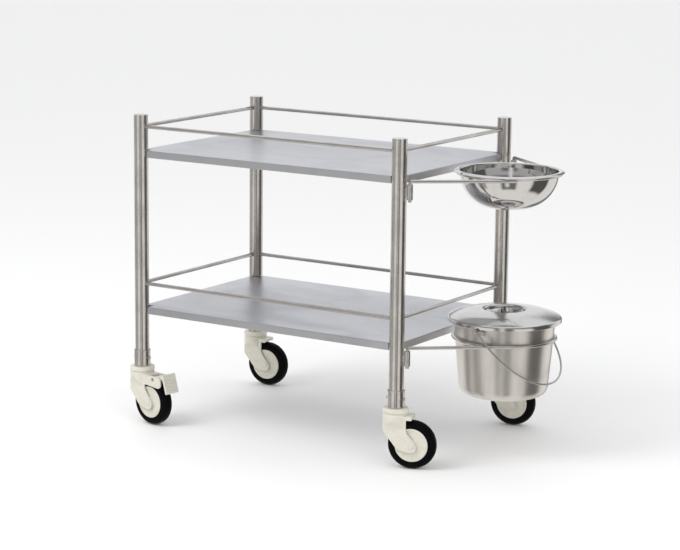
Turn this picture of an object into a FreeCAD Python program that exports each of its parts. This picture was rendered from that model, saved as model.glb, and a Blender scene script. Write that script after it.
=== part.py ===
import FreeCAD, Part
import math
import os
import Sketcher

# Dressing trolley with two shelves, a bowl in a ring holder and a lidded bucket in a second
# ring holder.  Millimetres, +Z up.  The long side runs along X with the two ring holders at the
# +X end; the origin is on the floor under the middle of the overall box.

DIMENSIONS = {
    # frame
    "post_radius": 19, "post_wall": 1.2, "post_x": 400, "post_y": 267.5,
    "post_bottom": 158, "post_top": 831, "cap_thickness": 3, "cap_spigot": 15,
    "fit_gap": 0.1,
    # guard rails
    "rail_radius": 5, "upper_rail_height": 803, "lower_rail_height": 381,
    # shelves
    "upper_shelf_height": 740, "lower_shelf_height": 318, "shelf_depth": 19,
    "shelf_sheet": 1.2, "shelf_overhang": 4.5, "shelf_bend": 1.8, "corner_notch": 22,
    "stiffener_width": 60, "stiffener_flange": 15, "stiffener_depth": 14, "stiffener_end_gap": 6,
    "lug_length": 5, "lug_height": 8, "lug_thickness": 3,
    # sleeves round the foot of each post
    "sleeve_wall": 2.6, "sleeve_bottom": 155, "sleeve_top": 200, "sleeve_bead": 0.9,
    "sleeve_bead_width": 4, "sleeve_bead_slope": 0.8,
    "screw_height": 178, "screw_radius": 3, "screw_head_radius": 4.6, "screw_head": 4,
    # casters
    "cup_radius": 33, "cup_bottom": 143, "cup_shoulder": 3.5, "cup_edge": 1.5, "stem_top": 191,
    "stem_taper": 3, "king_pin_radius": 6, "king_pin_bottom": 122,
    "drum_radius": 32.5, "drum_bottom": 101, "drum_top": 142.5, "drum_straight": 133,
    "drum_neck": 1.8, "drum_neck_step": 1.2,
    "fork_half_width": 22, "slot_half_width": 17.7, "slot_radius": 66, "leg_back": 32,
    "leg_front": 31, "leg_back_turn": 10, "leg_curve": 41, "leg_front_turn": 24,
    "axle_x": 44, "wheel_radius": 62.5, "wheel_half_width": 16, "hub_radius": 43,
    "hub_boss_radius": 13, "hub_recess": 2, "tyre_side": 0.3,
    "lobe_radius": 15, "lobe_back": 1, "lobe_drop": 4, "axle_radius": 4, "running_gap": 0.06,
    "axle_cap_radius": 8, "axle_cap_height": 1.6, "lip_reach": 46, "lip_bottom": 127,
    "lip_top": 137, "lip_round": 3,
    # brake pedals
    "brake_x": 64, "brake_height": 129, "brake_arm_reach": 93, "brake_arm_bottom": 107,
    "brake_arm_round": 10, "brake_barrel_radius": 6.4, "brake_pin_radius": 2.5,
    "pedal_gap": 3, "pedal_thickness": 5, "pedal_plate": 7, "pedal_rib": 1.3,
    # ring holders
    "socket_x": 431, "socket_radius": 7.5, "socket_length": 38, "socket_web": 16,
    "rod_radius": 4.5, "rod_play": 0.3, "elbow_radius": 6.5, "rod_end": 5, "elbow_gap": 1,
    "bowl_ring_x": 562, "bowl_ring_height": 733.6, "bowl_ring_radius": 132, "bowl_arm_drop": 4,
    "bucket_ring_x": 559, "bucket_ring_height": 309, "bucket_ring_radius": 130.8,
    "bucket_arm_drop": -1,
    # bowl
    "bowl_top": 739.7, "bowl_rim_radius": 140, "bowl_bead": 0.9, "bowl_throat": 125.5,
    "bowl_base_radius": 58, "bowl_depth": 94, "bowl_wall": 1, "bowl_neck": 4,
    "lip_arc": 15, "lip_flat": 1.5,
    # bucket, lid and bail
    "bucket_bottom": 160, "bucket_top": 362.2, "bucket_corner": 26, "bucket_foot_radius": 115,
    "bucket_mouth_radius": 130, "bucket_wall": 1, "bucket_bead": 3,
    "lid_radius": 146, "lid_underside": 356, "lid_crown": 382, "lid_recess": 368,
    "lid_sheet": 1, "lid_dome": 230, "lid_shoulder": 7, "lid_edge": 1.4, "lid_skirt": 3,
    "lid_step_depth": 7, "lid_seat_width": 7.5, "lid_seat_gap": 0.4, "lid_play": 2.5,
    "lid_well_radius": 52, "lid_well_turn": 6,
    "handle_reach": 44, "handle_width": 14, "handle_foot": 7, "handle_slope": 6,
    "handle_sheet": 2, "handle_heading": 122,
    "bail_pivot_height": 348, "bail_half_span": 151, "bail_leg": 49, "bail_wire": 2.5,
    "bail_eye_radius": 6.5, "bail_rest_angle": 44.5, "ear_pin_radius": 3.3, "ear_play": 0.3,
    "ear_plate": 2.5, "ear_half_width": 15, "ear_half_height": 9, "ear_drop": 4,
    "ear_head_radius": 5, "ear_head": 2.5, "ear_root": 6,
}

# Where each caster trails, in degrees from +X towards +Y, and which ones carry a brake.
CASTERS = {
    "front_left": (-1, -1, -10, True),
    "front_right": (1, -1, 18, False),
    "back_left": (-1, 1, 3, False),
    "back_right": (1, 1, 10, True),
}
SCREW_HEADINGS = (0, 180)
PEDAL_RIBS = 8
# Where one rib of the pedal starts, is full, ends being full and ends, as parts of its pitch.
RIB_SHAPE = ((0.2, 0), (0.35, 1), (0.8, 1), (0.95, 0))

UP = FreeCAD.Vector(0, 0, 1)
ALONG_X = FreeCAD.Rotation(FreeCAD.Vector(0, 1, 0), 90)
ALONG_Y = FreeCAD.Rotation(FreeCAD.Vector(1, 0, 0), -90)

doc = FreeCAD.newDocument("dressing_trolley")
sheet = doc.addObject("Spreadsheet::Sheet", "Dims")
subparts = []


class Dim:
    """A size that knows its value and the spreadsheet expression that gives it."""

    def __init__(self, value, text):
        self.value = value
        self.text = text

    def __add__(self, other):
        other = as_dim(other)
        return Dim(self.value + other.value, f"({self.text} + {other.text})")

    def __sub__(self, other):
        other = as_dim(other)
        return Dim(self.value - other.value, f"({self.text} - {other.text})")

    def __mul__(self, other):
        other = as_dim(other)
        return Dim(self.value * other.value, f"({self.text} * {other.text})")

    def __truediv__(self, other):
        other = as_dim(other)
        return Dim(self.value / other.value, f"({self.text} / {other.text})")

    def __rsub__(self, other):
        return as_dim(other) - self

    def __neg__(self):
        return self * -1

    __radd__ = __add__
    __rmul__ = __mul__


def as_dim(size):
    return size if isinstance(size, Dim) else Dim(float(size), f"{float(size):.6f}")


class Sizes:
    """The driving dimensions by name, each one a cell of the sheet."""


def fill_sheet():
    sizes = Sizes()
    for row, (name, value) in enumerate(DIMENSIONS.items(), start=1):
        sheet.set(f"A{row}", name)
        sheet.set(f"B{row}", str(value))
        sheet.setAlias(f"B{row}", name)
        setattr(sizes, name, Dim(float(value), f"Dims.{name}"))
    doc.recompute()
    return sizes


d = fill_sheet()
# The overall box runs from the left caster cups to the lid's rim, and the origin is its middle.
MIDDLE_X = (d.bucket_ring_x + d.lid_radius - d.post_x - d.cup_radius) * 0.5
POST_X = {-1: -d.post_x - MIDDLE_X, 1: d.post_x - MIDDLE_X}
SHELF_X = d.post_x + d.shelf_overhang
SHELF_Y = d.post_y + d.shelf_overhang
AXLE_Z = d.wheel_radius


# ---- helpers ---------------------------------------------------------------------------------

def bind(feature, **sizes):
    for name, size in sizes.items():
        feature.setExpression(name, as_dim(size).text)
    return feature


def place(feature, x=0, y=0, z=0, turn=None):
    feature.Placement = FreeCAD.Placement(FreeCAD.Vector(), turn or FreeCAD.Rotation())
    for axis, size in zip("xyz", (x, y, z)):
        feature.setExpression(f"Placement.Base.{axis}", as_dim(size).text)
    return feature


def heading(degrees):
    return FreeCAD.Rotation(UP, degrees)


def keep(feature, label):
    """Mark a feature as a finished sub-part and give it its name."""
    feature.Label = label
    subparts.append(feature)
    return feature


def cylinder(radius, height, x=0, y=0, z=0, turn=None, angle=360):
    rod = doc.addObject("Part::Cylinder", "rod")
    rod.Angle = angle
    bind(rod, Radius=radius, Height=height)
    return place(rod, x, y, z, turn)


def torus(ring_radius, wire_radius, x=0, y=0, z=0, turn=None, angle=360):
    ring = doc.addObject("Part::Torus", "ring")
    ring.Angle3 = angle
    bind(ring, Radius1=ring_radius, Radius2=wire_radius)
    return place(ring, x, y, z, turn)


def box(length, width, height, x=0, y=0, z=0, turn=None):
    block = doc.addObject("Part::Box", "block")
    bind(block, Length=length, Width=width, Height=height)
    return place(block, x, y, z, turn)


def cut(base, tool):
    result = doc.addObject("Part::Cut", "cut")
    result.Base = base
    result.Tool = tool
    return result


def fuse(shapes):
    result = doc.addObject("Part::MultiFuse", "fusion")
    result.Shapes = shapes
    return result


def group(shapes):
    result = doc.addObject("Part::Compound", "group")
    result.Links = shapes
    return result


def new_body():
    return doc.addObject("PartDesign::Body", "Body")


def sketch_on(body, plane_role):
    sketch = body.newObject("Sketcher::SketchObject", "Sketch")
    plane = [item for item in body.Origin.OriginFeatures if item.Role == plane_role][0]
    sketch.AttachmentSupport = [(plane, "")]
    sketch.MapMode = "FlatFace"
    return sketch


def pin_point(sketch, edge, end, x, y):
    """Tie one end of an edge to its place, each coordinate bound to the sheet."""
    for kind, axis, size in (("DistanceX", -2, as_dim(x)), ("DistanceY", -1, as_dim(y))):
        if abs(size.value) < 1e-9:
            sketch.addConstraint(Sketcher.Constraint("PointOnObject", edge, end, axis))
            continue
        number = sketch.addConstraint(Sketcher.Constraint(kind, -1, 1, edge, end, size.value))
        sketch.setExpression(f"Constraints[{number}]", size.text)


def arc_between(start, end, radius):
    """Arc from start to end; a positive radius turns left on the way, a negative one right."""
    middle = (start + end) * 0.5
    half = (end - start) * 0.5
    rise = math.sqrt(max(radius * radius - half.Length ** 2, 0.0))
    left = FreeCAD.Vector(-half.y, half.x, 0).normalize()
    centre = middle + left * math.copysign(rise, radius)
    first, last = (start, end) if radius > 0 else (end, start)
    angles = [math.atan2((p - centre).y, (p - centre).x) for p in (first, last)]
    if angles[1] <= angles[0]:
        angles[1] += 2 * math.pi
    return Part.ArcOfCircle(Part.Circle(centre, UP, abs(radius)), *angles)


def outline(sketch, corners):
    """Closed outline, the only one in its sketch, so that edges and corners share numbers.

    A corner is (x, y), or (x, y, radius) where an arc leads to it.
    """
    points = [FreeCAD.Vector(as_dim(c[0]).value, as_dim(c[1]).value, 0) for c in corners]
    for i, corner in enumerate(corners):
        start, end = points[i - 1], points[i]
        if len(corner) == 2:
            edge = sketch.addGeometry(Part.LineSegment(start, end))
            tail = 2
        else:
            radius = as_dim(corner[2])
            edge = sketch.addGeometry(arc_between(start, end, radius.value))
            tail = 2 if radius.value > 0 else 1
            size = radius if radius.value > 0 else -radius
            number = sketch.addConstraint(Sketcher.Constraint("Radius", edge, size.value))
            sketch.setExpression(f"Constraints[{number}]", size.text)
        pin_point(sketch, edge, tail, corner[0], corner[1])
        if i:
            join(sketch, corners, i - 1, i)
    join(sketch, corners, len(corners) - 1, 0)
    return sketch


def join(sketch, corners, before, after):
    """Close the outline between two neighbouring edges."""
    ends = []
    for edge, is_tail in ((before, True), (after, False)):
        corner = corners[edge]
        reversed_arc = len(corner) == 3 and as_dim(corner[2]).value < 0
        ends.append(2 if is_tail != reversed_arc else 1)
    sketch.addConstraint(Sketcher.Constraint("Coincident", before, ends[0], after, ends[1]))


def circle(sketch, radius, x=0, y=0):
    radius = as_dim(radius)
    centre = FreeCAD.Vector(as_dim(x).value, as_dim(y).value, 0)
    edge = sketch.addGeometry(Part.Circle(centre, UP, radius.value))
    number = sketch.addConstraint(Sketcher.Constraint("Radius", edge, radius.value))
    sketch.setExpression(f"Constraints[{number}]", radius.text)
    pin_point(sketch, edge, 3, x, y)
    return sketch


def feature(body, kind, sketch, **sizes):
    made = body.newObject(f"PartDesign::{kind}", kind)
    made.Profile = sketch
    bind(made, **sizes)
    return made


def pad(body, sketch, length, symmetric=False):
    made = feature(body, "Pad", sketch, Length=length)
    made.SideType = "Symmetric" if symmetric else "One side"
    return made


def pocket(body, sketch, depth, symmetric=False, reverse=False):
    """Cut, and make sure that the cut removes material."""
    doc.recompute()
    before = body.Shape.Volume
    made = feature(body, "Pocket", sketch, Length=depth)
    made.SideType = "Symmetric" if symmetric else "One side"
    made.Reversed = reverse
    check_cut(body, before)
    return made


def groove(body, sketch):
    doc.recompute()
    before = body.Shape.Volume
    made = feature(body, "Groove", sketch)
    made.ReferenceAxis = (sketch, ["V_Axis"])
    made.Angle = 360
    check_cut(body, before)
    return made


def check_cut(body, before):
    doc.recompute()
    if body.Shape.Volume > before - 1:
        raise RuntimeError(f"a cut in {body.Label} removed nothing")


def revolve(body, sketch):
    made = feature(body, "Revolution", sketch)
    made.ReferenceAxis = (sketch, ["V_Axis"])
    made.Angle = 360
    return made


def turned(corners, plane_role="XZ_Plane"):
    """A body turned about the vertical axis of its sketch plane."""
    body = new_body()
    revolve(body, outline(sketch_on(body, plane_role), corners))
    return body


def each_post():
    for name, (side, end, trail, braked) in CASTERS.items():
        yield name, POST_X[side], d.post_y * end, trail, braked


# ---- frame -----------------------------------------------------------------------------------

def posts():
    for name, x, y, _, _ in each_post():
        body = new_body()
        section = sketch_on(body, "XY_Plane")
        circle(section, d.post_radius)
        circle(section, d.post_radius - d.post_wall)
        pad(body, section, d.post_top - d.post_bottom)
        keep(place(body, x, y, d.post_bottom), f"post_{name}")


def post_caps():
    caps = []
    bore = d.post_radius - d.post_wall - d.fit_gap
    for _, x, y, _, _ in each_post():
        spigot = cylinder(bore, d.cap_spigot, x, y, d.post_top - d.cap_spigot)
        disc = cylinder(d.post_radius, d.cap_thickness, x, y, d.post_top)
        caps.append(fuse([spigot, disc]))
    keep(group(caps), "post_caps")


def guard_rails():
    for level, height in (("upper", d.upper_rail_height), ("lower", d.lower_rail_height)):
        for name, sign in (("front", -1), ("back", 1)):
            ends = [(POST_X[-1], d.post_y * sign), (POST_X[1], d.post_y * sign)]
            rail(f"{level}_rail_{name}", ends, height, ALONG_X, d.post_x * 2)
        for name, sign in (("left", -1), ("right", 1)):
            ends = [(POST_X[sign], -d.post_y), (POST_X[sign], d.post_y)]
            rail(f"{level}_rail_{name}", ends, height, ALONG_Y, d.post_y * 2)


def rail(name, ends, height, turn, length):
    """A rod between two posts, its ends hollowed to the posts' round."""
    rod = cylinder(d.rail_radius, length, *ends[0], height, turn)
    saddles = fuse([
        cylinder(d.post_radius + d.fit_gap, d.rail_radius * 4, x, y, height - d.rail_radius * 2)
        for x, y in ends
    ])
    keep(cut(rod, saddles), name)


def notched(half_x, half_y, notch_x, notch_y):
    """Rectangle with a square notch at each corner, counter-clockwise."""
    corners = []
    for sx, sy, x_first in ((1, -1, True), (1, 1, False), (-1, 1, True), (-1, -1, False)):
        along_x = (notch_x * sx, half_y * sy)
        inner = (notch_x * sx, notch_y * sy)
        along_y = (half_x * sx, notch_y * sy)
        corners += [along_x, inner, along_y] if x_first else [along_y, inner, along_x]
    return corners


def shelves():
    for level, height in (("upper", d.upper_shelf_height), ("lower", d.lower_shelf_height)):
        body = new_body()
        notch_x = d.post_x - d.corner_notch
        notch_y = d.post_y - d.corner_notch
        tray = pad(body, outline(sketch_on(body, "XY_Plane"),
                                 notched(SHELF_X, SHELF_Y, notch_x, notch_y)), d.shelf_depth)
        doc.recompute()
        bend = body.newObject("PartDesign::Fillet", "Fillet")
        bend.Base = (tray, top_edges(tray.Shape, d.shelf_depth.value))
        bind(bend, Radius=d.shelf_bend)
        hollow = outline(sketch_on(body, "XY_Plane"),
                         notched(SHELF_X - d.shelf_sheet, SHELF_Y - d.shelf_sheet,
                                 notch_x - d.shelf_sheet, notch_y - d.shelf_sheet))
        pocket(body, hollow, d.shelf_depth - d.shelf_sheet, reverse=True)
        keep(place(body, -MIDDLE_X, 0, height - d.shelf_depth), f"{level}_shelf")


def top_edges(shape, height):
    return [f"Edge{i}" for i, edge in enumerate(shape.Edges, start=1)
            if all(abs(v.Z - height) < 1e-6 for v in edge.Vertexes)]


def shelf_stiffeners():
    """A hat-section channel under the middle of each shelf."""
    channels = []
    half_length = SHELF_X - d.shelf_sheet - d.stiffener_end_gap
    for height in (d.upper_shelf_height, d.lower_shelf_height):
        body = new_body()
        inner = d.stiffener_width * 0.5 - d.stiffener_flange
        outer = d.stiffener_width * 0.5
        t, depth = d.shelf_sheet, d.stiffener_depth
        half = [(outer, -t), (outer, 0), (inner - t, 0), (inner - t, t - depth)]
        lower = [(inner, -depth), (inner, -t)]
        section = half + [(-x, y) for x, y in reversed(half)]
        section += [(-x, y) for x, y in reversed(lower)] + lower
        pad(body, outline(sketch_on(body, "YZ_Plane"), section), half_length * 2, symmetric=True)
        channels.append(place(body, -MIDDLE_X, 0, height - d.shelf_sheet))
    keep(group(channels), "shelf_stiffeners")


def shelf_lugs():
    """Small welded tabs that carry each shelf corner on its post, two to a corner."""
    lugs = []
    for height in (d.upper_shelf_height, d.lower_shelf_height):
        z = height - d.shelf_depth * 0.5 - d.lug_height * 0.5
        for side in (-1, 1):
            for end in (-1, 1):
                inset = d.corner_notch
                x_from_post = -inset if side > 0 else inset - d.lug_length
                y_from_post = -inset if end > 0 else inset - d.lug_length
                post = (POST_X[side], d.post_y * end)
                middle = -d.lug_thickness * 0.5
                lugs.append(tab(post, x_from_post, middle, z, d.lug_length, d.lug_thickness))
                lugs.append(tab(post, middle, y_from_post, z, d.lug_thickness, d.lug_length))
    keep(group(lugs), "shelf_lugs")


def tab(post, dx, dy, z, length, width):
    block = box(length, width, d.lug_height, post[0] + dx, post[1] + dy, z)
    hollow = cylinder(d.post_radius + d.fit_gap, d.lug_height * 3, *post, z - d.lug_height)
    return cut(block, hollow)


def sleeves():
    bore = d.post_radius + d.fit_gap
    outer = bore + d.sleeve_wall
    bead = outer + d.sleeve_bead
    height = d.sleeve_top - d.sleeve_bottom
    corners = [
        (bore, 0), (outer, 0), (outer, height - d.sleeve_bead_width),
        (bead, height - d.sleeve_bead_width + d.sleeve_bead_slope),
        (bead, height - d.sleeve_bead_slope), (outer, height), (bore, height),
    ]
    for name, x, y, _, _ in each_post():
        body = turned(corners)
        hole = circle(sketch_on(body, "YZ_Plane"), d.screw_radius + d.fit_gap,
                      0, d.screw_height - d.sleeve_bottom)
        made = pocket(body, hole, outer * 2, reverse=True)
        ring = body.newObject("PartDesign::PolarPattern", "PolarPattern")
        ring.Originals = [made]
        ring.Axis = (made.Profile[0], ["V_Axis"])
        ring.Angle = 360
        ring.Occurrences = len(SCREW_HEADINGS)
        body.Tip = ring
        keep(place(body, x, y, d.sleeve_bottom), f"sleeve_{name}")


def sleeve_screws():
    """Hexagon-headed screws through each sleeve, bearing on the post."""
    screws = []
    start = d.post_radius + d.fit_gap
    face = start + d.sleeve_wall + d.fit_gap * 2
    for _, x, y, _, _ in each_post():
        for angle in SCREW_HEADINGS:
            turn = heading(angle).multiply(ALONG_X)
            across = (math.cos(math.radians(angle)), math.sin(math.radians(angle)))
            shank = cylinder(d.screw_radius, face - start + d.screw_head * 0.5,
                             x + start * across[0], y + start * across[1], d.screw_height, turn)
            head = doc.addObject("Part::Prism", "head")
            head.Polygon = 6
            bind(head, Circumradius=d.screw_head_radius, Height=d.screw_head)
            place(head, x + face * across[0], y + face * across[1], d.screw_height, turn)
            screws.append(fuse([shank, head]))
    keep(group(screws), "sleeve_screws")


# ---- casters ---------------------------------------------------------------------------------

def casters():
    for name, x, y, trail, braked in each_post():
        turn = heading(trail)
        across = (math.cos(math.radians(trail)), math.sin(math.radians(trail)))
        axle_at = (x + d.axle_x * across[0], y + d.axle_x * across[1], AXLE_Z, turn)
        keep(place(caster_cup(), x, y, 0, turn), f"caster_cup_{name}")
        keep(place(caster_fork(braked), x, y, 0, turn), f"caster_fork_{name}")
        keep(place(axle(), *axle_at), f"axle_{name}")
        keep(axle_caps(*axle_at), f"axle_caps_{name}")
        keep(place(wheel_hub(), *axle_at), f"wheel_hub_{name}")
        keep(place(tyre(), *axle_at), f"tyre_{name}")
        if braked:
            pin_at = (x + d.brake_x * across[0], y + d.brake_x * across[1], d.brake_height, turn)
            keep(place(brake_pin(), *pin_at), f"brake_pin_{name}")
            keep(place(brake_pedal(), x, y, 0, turn), f"brake_pedal_{name}")


def caster_cup():
    """The fixed top of a caster: king pin, round cup and the plug that fills the post."""
    plug = d.post_radius - d.post_wall - d.fit_gap
    edge, shoulder, taper = d.cup_edge, d.cup_shoulder, d.stem_taper
    return turned([
        (0, d.king_pin_bottom), (d.king_pin_radius, d.king_pin_bottom),
        (d.king_pin_radius, d.cup_bottom), (d.cup_radius - edge, d.cup_bottom),
        (d.cup_radius, d.cup_bottom + edge, edge), (d.cup_radius, d.sleeve_bottom - shoulder),
        (d.cup_radius - shoulder, d.sleeve_bottom, shoulder), (plug, d.sleeve_bottom),
        (plug, d.stem_top - taper), (plug - taper, d.stem_top), (0, d.stem_top),
    ])


def caster_fork(braked):
    """The swivelling housing: a round drum that runs down into two legs beside the wheel."""
    neck_radius = d.drum_radius - d.drum_neck_step
    body = turned([
        (0, d.drum_bottom), (d.drum_radius, d.drum_bottom),
        (d.drum_radius, d.drum_top - d.drum_neck - d.drum_neck_step),
        (neck_radius, d.drum_top - d.drum_neck), (neck_radius, d.drum_top), (0, d.drum_top),
    ])
    for sign in (-1, 1):
        flank = outline(sketch_on(body, "YZ_Plane"), flank_waste(sign))
        pocket(body, flank, d.drum_radius * 3, symmetric=True)
    side = outline(sketch_on(body, "XZ_Plane"), fork_side(braked))
    pad(body, side, d.fork_half_width * 2, symmetric=True)
    pocket(body, outline(sketch_on(body, "XY_Plane"), round_back_waste()), d.drum_top,
           reverse=True)
    slot = circle(sketch_on(body, "XZ_Plane"), d.slot_radius, d.axle_x, AXLE_Z)
    pocket(body, slot, d.slot_half_width * 2, symmetric=True)
    through = d.fork_half_width * 3
    if braked:
        end = d.brake_arm_reach + d.pedal_gap
        low, high = d.brake_arm_bottom - d.pedal_gap, d.lip_top + d.pedal_gap
        gap = outline(sketch_on(body, "XZ_Plane"), [
            (d.lip_reach, low), (end, low), (end, high), (d.lip_reach, high),
        ])
        pocket(body, gap, d.slot_half_width * 2, symmetric=True)
        pin_hole = circle(sketch_on(body, "XZ_Plane"), d.brake_pin_radius + d.running_gap,
                          d.brake_x, d.brake_height)
        pocket(body, pin_hole, through, symmetric=True)
    bore, bore_end = d.king_pin_radius + d.running_gap, d.king_pin_bottom - 1
    groove(body, outline(sketch_on(body, "XZ_Plane"), [
        (0, bore_end), (bore, bore_end), (bore, d.drum_top * 1.1), (0, d.drum_top * 1.1),
    ]))
    axle_hole = circle(sketch_on(body, "XZ_Plane"), d.axle_radius + d.running_gap,
                       d.axle_x, AXLE_Z)
    pocket(body, axle_hole, through, symmetric=True)
    return body


def flank_waste(sign):
    """What is cut off one side of the drum, so that it narrows in an S curve to the legs."""
    across = (d.drum_radius - d.fork_half_width) * 0.5
    up = (d.drum_straight - d.drum_bottom) * 0.5
    arc = side_arc(across, up) * sign
    outside = d.drum_radius * 1.3
    return [
        (d.fork_half_width * sign, d.drum_bottom),
        ((d.fork_half_width + across) * sign, d.drum_bottom + up, -arc),
        (d.drum_radius * sign, d.drum_straight, arc), (outside * sign, d.drum_straight),
        (outside * sign, d.drum_bottom - up), (d.fork_half_width * sign, d.drum_bottom - up),
    ]


def round_back_waste():
    """What is cut off behind, seen from above, so that the legs' back keeps the drum's round."""
    round_radius, outside = d.drum_radius, d.drum_radius * 1.3
    return [
        (0, -outside), (0, -round_radius), (-round_radius, 0, -round_radius),
        (0, round_radius, -round_radius), (0, outside), (-outside, outside),
        (-outside, -outside),
    ]


def on_arc(centre_x, centre_z, radius, degrees):
    """The point of a circle where its tangent, going round to the left, heads that way."""
    angle = math.radians(degrees - 90)
    return (centre_x + radius * math.cos(angle), centre_z + radius * math.sin(angle))


def rounded_corner(x, z, way_in, way_out, radius):
    """Both ends of the arc that rounds a corner; the ways are headings in degrees."""
    turn = way_out - way_in
    setback = radius * math.tan(math.radians(abs(turn) * 0.5))
    start = (x - setback * math.cos(math.radians(way_in)),
             z - setback * math.sin(math.radians(way_in)))
    end = (x + setback * math.cos(math.radians(way_out)),
           z + setback * math.sin(math.radians(way_out)))
    return [start, (*end, radius if turn > 0 else -radius)]


def fork_side(braked):
    """Side view of a leg: down its back, round the lobe at the axle and up its front."""
    back, under, front = -60, -8, 130
    lobe = (d.axle_x - d.lobe_back, AXLE_Z - d.lobe_drop, d.lobe_radius)
    low_end = on_arc(*lobe, under)
    high_end = on_arc(*lobe, front)
    rise = (high_end[0] - d.leg_front) * math.tan(math.radians(180 - front))
    waist, heel = (-3, AXLE_Z + 3.5), (d.axle_x - 14, AXLE_Z - 17)
    corners = [
        (-d.leg_back, d.lip_top + 1),
        *rounded_corner(-d.leg_back, d.drum_bottom, -90, back, d.leg_back_turn),
        waist, (*heel, d.leg_curve), low_end,
        (*high_end, d.lobe_radius),
        *rounded_corner(d.leg_front, high_end[1] + rise, front, 90, d.leg_front_turn),
    ]
    if not braked:
        tip, top = d.lip_reach, d.lip_top
        blunt = d.lip_round
        return corners + [
            (d.leg_front, d.lip_bottom), (tip - blunt, d.lip_bottom),
            (tip, d.lip_bottom + blunt, blunt), (tip, top - blunt), (tip - blunt, top, blunt),
        ]
    reach, low, bend = d.brake_arm_reach, d.brake_arm_bottom, d.brake_arm_round
    fillet = 4
    return corners + [
        (d.leg_front + fillet, low + fillet, -fillet), (reach - bend, low),
        (reach, low + bend, bend), (reach, d.lip_top - bend), (reach - bend, d.lip_top, bend),
    ]


def axle():
    end = d.fork_half_width - 0.2
    return turned([
        (0, -end), (d.axle_radius - 0.5, -end), (d.axle_radius, 0.5 - end),
        (d.axle_radius, end - 0.5), (d.axle_radius - 0.5, end), (0, end),
    ], "XY_Plane")


def axle_caps(x, y, z, turn):
    """A low round cover over each end of the axle."""
    caps = []
    for sign in (-1, 1):
        body = new_body()
        face = d.fork_half_width * sign
        rim = (d.fork_half_width + d.axle_cap_height * 0.5) * sign
        crown = (d.fork_half_width + d.axle_cap_height) * sign
        corners = [
            (0, face), (d.axle_cap_radius, face), (d.axle_cap_radius, rim),
            (d.axle_cap_radius - 1.5, crown), (0, crown),
        ]
        revolve(body, outline(sketch_on(body, "XY_Plane"), corners))
        caps.append(place(body, x, y, z, turn))
    return group(caps)


def mirrored(half):
    """An outline drawn for y > 0, repeated below the axis."""
    below = []
    for i, corner in reversed(list(enumerate(half))):
        arc = half[i + 1][2:] if i + 1 < len(half) else ()
        below.append((corner[0], -corner[1], *arc))
    return below


def wheel_hub():
    bore, rim, boss = d.axle_radius + d.running_gap, d.hub_radius, d.hub_boss_radius
    edge = d.hub_recess
    face, web = d.wheel_half_width, d.wheel_half_width - d.hub_recess * 0.8
    boss_face = d.wheel_half_width + d.hub_recess * 0.2
    half = [
        (rim, face - edge), (rim - edge, face, edge), (rim - edge * 2.5, face),
        (rim - edge * 5.5, web, -edge * 10), (boss + edge, web), (boss, boss_face),
        (bore, boss_face),
    ]
    return turned(half + mirrored(half), "XY_Plane")


def tyre():
    inner, outer = d.hub_radius + d.fit_gap * 0.2, d.wheel_radius
    side = d.wheel_half_width - d.tyre_side
    crown_arc, shoulder_arc, side_wall_arc = 26, 12, 16
    half = [
        (outer, 0), (outer - 1.3, d.wheel_half_width * 0.5, crown_arc),
        (outer - 6, d.wheel_half_width - 2, shoulder_arc), (outer - 12, side, side_wall_arc),
        (inner, side),
    ]
    return turned(half + mirrored(half)[:-1], "XY_Plane")


def brake_pin():
    seat = d.fork_half_width + d.fit_gap
    end = d.fork_half_width + 1.5
    head, bevel = d.brake_pin_radius + 2, 0.6
    return turned([
        (0, -end), (head - bevel, -end), (head, bevel - end), (head, -seat),
        (d.brake_pin_radius, -seat),
        (d.brake_pin_radius, end), (0, end),
    ], "XY_Plane")


def brake_pedal():
    """Pedal that turns on its pin and brings its lower edge down towards the tyre."""
    body = new_body()
    barrel = d.brake_barrel_radius
    x, z = d.brake_x, d.brake_height
    plate_end = d.brake_arm_reach + d.pedal_gap * 2
    neck = outline(sketch_on(body, "XZ_Plane"), [
        (x, z - barrel, barrel), (plate_end, pedal_plate_top(plate_end) - d.pedal_plate),
        (plate_end, pedal_plate_top(plate_end)), (x, z + barrel), (x - barrel, z, barrel),
    ])
    pad(body, neck, d.slot_half_width * 2 - 1, symmetric=True)
    paddle = outline(sketch_on(body, "XZ_Plane"), pedal_side())
    pad(body, paddle, d.fork_half_width * 2, symmetric=True)
    hole = circle(sketch_on(body, "XZ_Plane"), d.brake_pin_radius + d.running_gap, x, z)
    pocket(body, hole, d.fork_half_width * 3, symmetric=True)
    return body


def pedal_plate_top(x):
    """Height of the pedal's top plate, which climbs a little on its way out."""
    return d.brake_height + d.brake_barrel_radius + (x - d.brake_x) * 0.2


def pedal_side():
    """Side view of the paddle, with cross ribs up its steep outer face."""
    bottom = (d.brake_x + 54, d.brake_height - 31)
    run = (-15, 49)
    length = math.hypot(*run)
    out = (run[1] / length, -run[0] / length)
    face = []
    for i in range(PEDAL_RIBS):
        for part, lift in RIB_SHAPE:
            along = (i + part) / PEDAL_RIBS
            face.append((bottom[0] + run[0] * along + d.pedal_rib * lift * out[0],
                         bottom[1] + run[1] * along + d.pedal_rib * lift * out[1]))
    top = (bottom[0] + run[0], bottom[1] + run[1])
    inner = (top[0] - d.pedal_thickness * out[0], top[1] - d.pedal_thickness * out[1])
    start = d.brake_arm_reach + d.pedal_gap
    under = pedal_plate_top(start) - d.pedal_plate
    slide = (inner[1] - under) * (run[0] / run[1])
    toe, toe_round = 3.7, 4
    return [
        (bottom[0] - toe, bottom[1] - toe * 0.8), (*bottom, toe_round), *face, top,
        (inner[0], pedal_plate_top(inner[0])), (start, pedal_plate_top(start)), (start, under),
        (inner[0] - slide, under),
    ]


# ---- ring holders ----------------------------------------------------------------------------

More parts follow.
